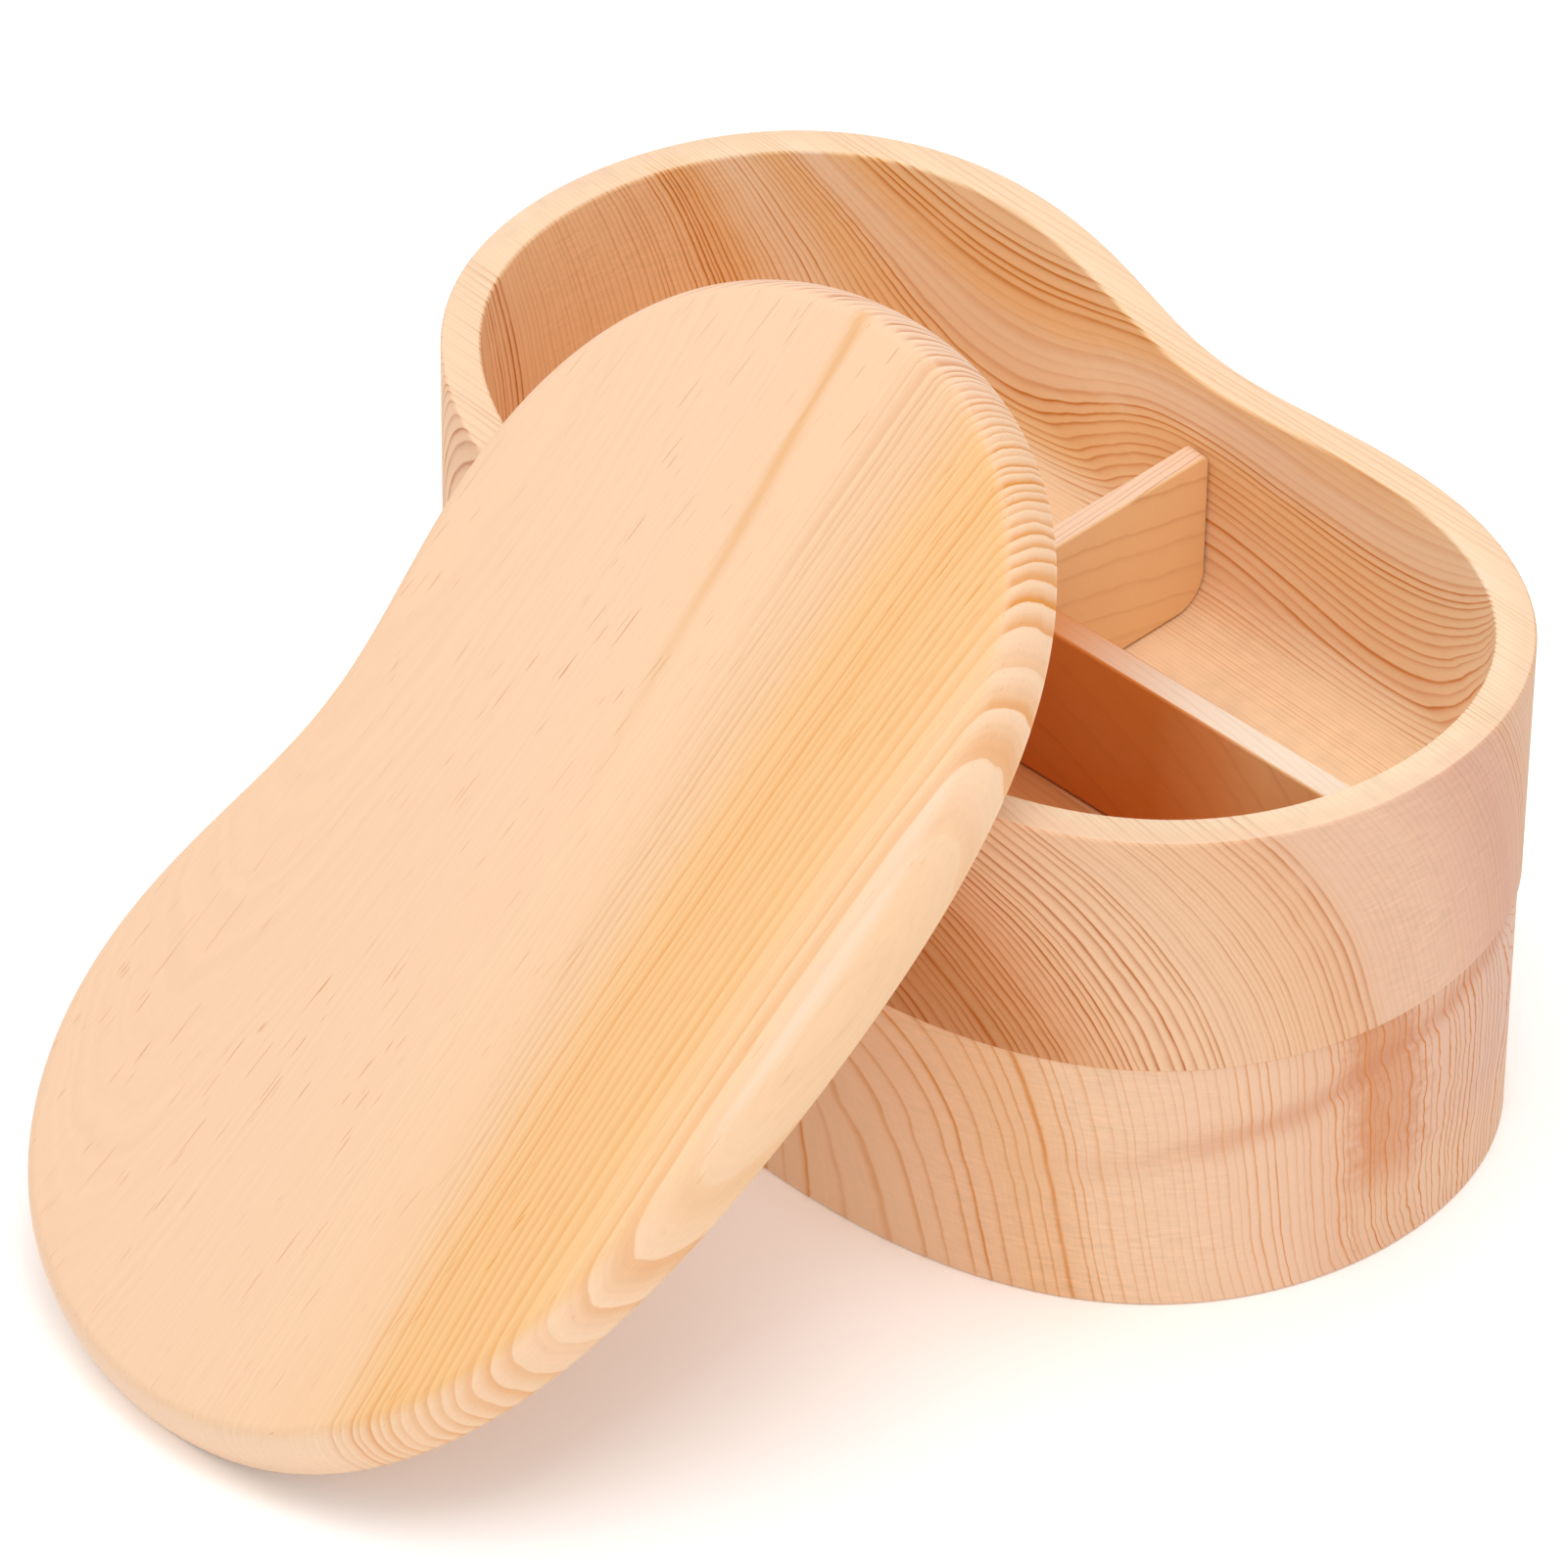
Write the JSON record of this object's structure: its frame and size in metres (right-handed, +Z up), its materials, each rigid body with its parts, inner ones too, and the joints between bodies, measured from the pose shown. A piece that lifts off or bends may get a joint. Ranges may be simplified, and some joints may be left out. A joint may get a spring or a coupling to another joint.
{
  "type": "two-tier wooden bento box",
  "caption": "Kidney-shaped wooden lunch box of stacked tiers with a divided upper tier and a loose round-edged lid leaned against it.",
  "frame": {"origin": "middle of the lower tier's flat underside, on the surface that the box stands on", "axes": "+Z up through the tiers, +X along the box, +Y towards its hollow long side; the lid leans on the -Y side"},
  "size_m": [0.19, 0.2168, 0.1315],
  "materials": {
    "lower_tier_wood": "satin softwood, upright growth rings",
    "upper_tier_wood": "satin softwood, slanting growth rings",
    "divider_wood": "satin softwood, darker faces",
    "lid_wood": "satin pale softwood, straight grain along the lid"
  },
  "bodies": {
    "lower_tier": {"lower_tier": "lower_tier_wood"},
    "upper_tier": {"upper_tier": "upper_tier_wood"},
    "dividers": {"cross_divider": "divider_wood", "long_divider": "divider_wood"},
    "lid": {"lid": "lid_wood"}
  },
  "joints": [
    {"name": "upper_tier_lift", "type": "slide", "parent": "lower_tier", "child": "upper_tier", "axis": [0, 0, 1], "range_m": [0, 0.06]},
    {"name": "lid_lift", "type": "slide", "parent": "upper_tier", "child": "lid", "axis": [0, 0, 1], "range_m": [0, 0.1]},
    {"name": "divider_lift", "type": "slide", "parent": "upper_tier", "child": "dividers", "axis": [0, 0, 1], "range_m": [0, 0.045]}
  ],
  "couplings": [
    {"joint": "divider_lift", "follows": "lid_lift", "ratio": 0.45}
  ]
}
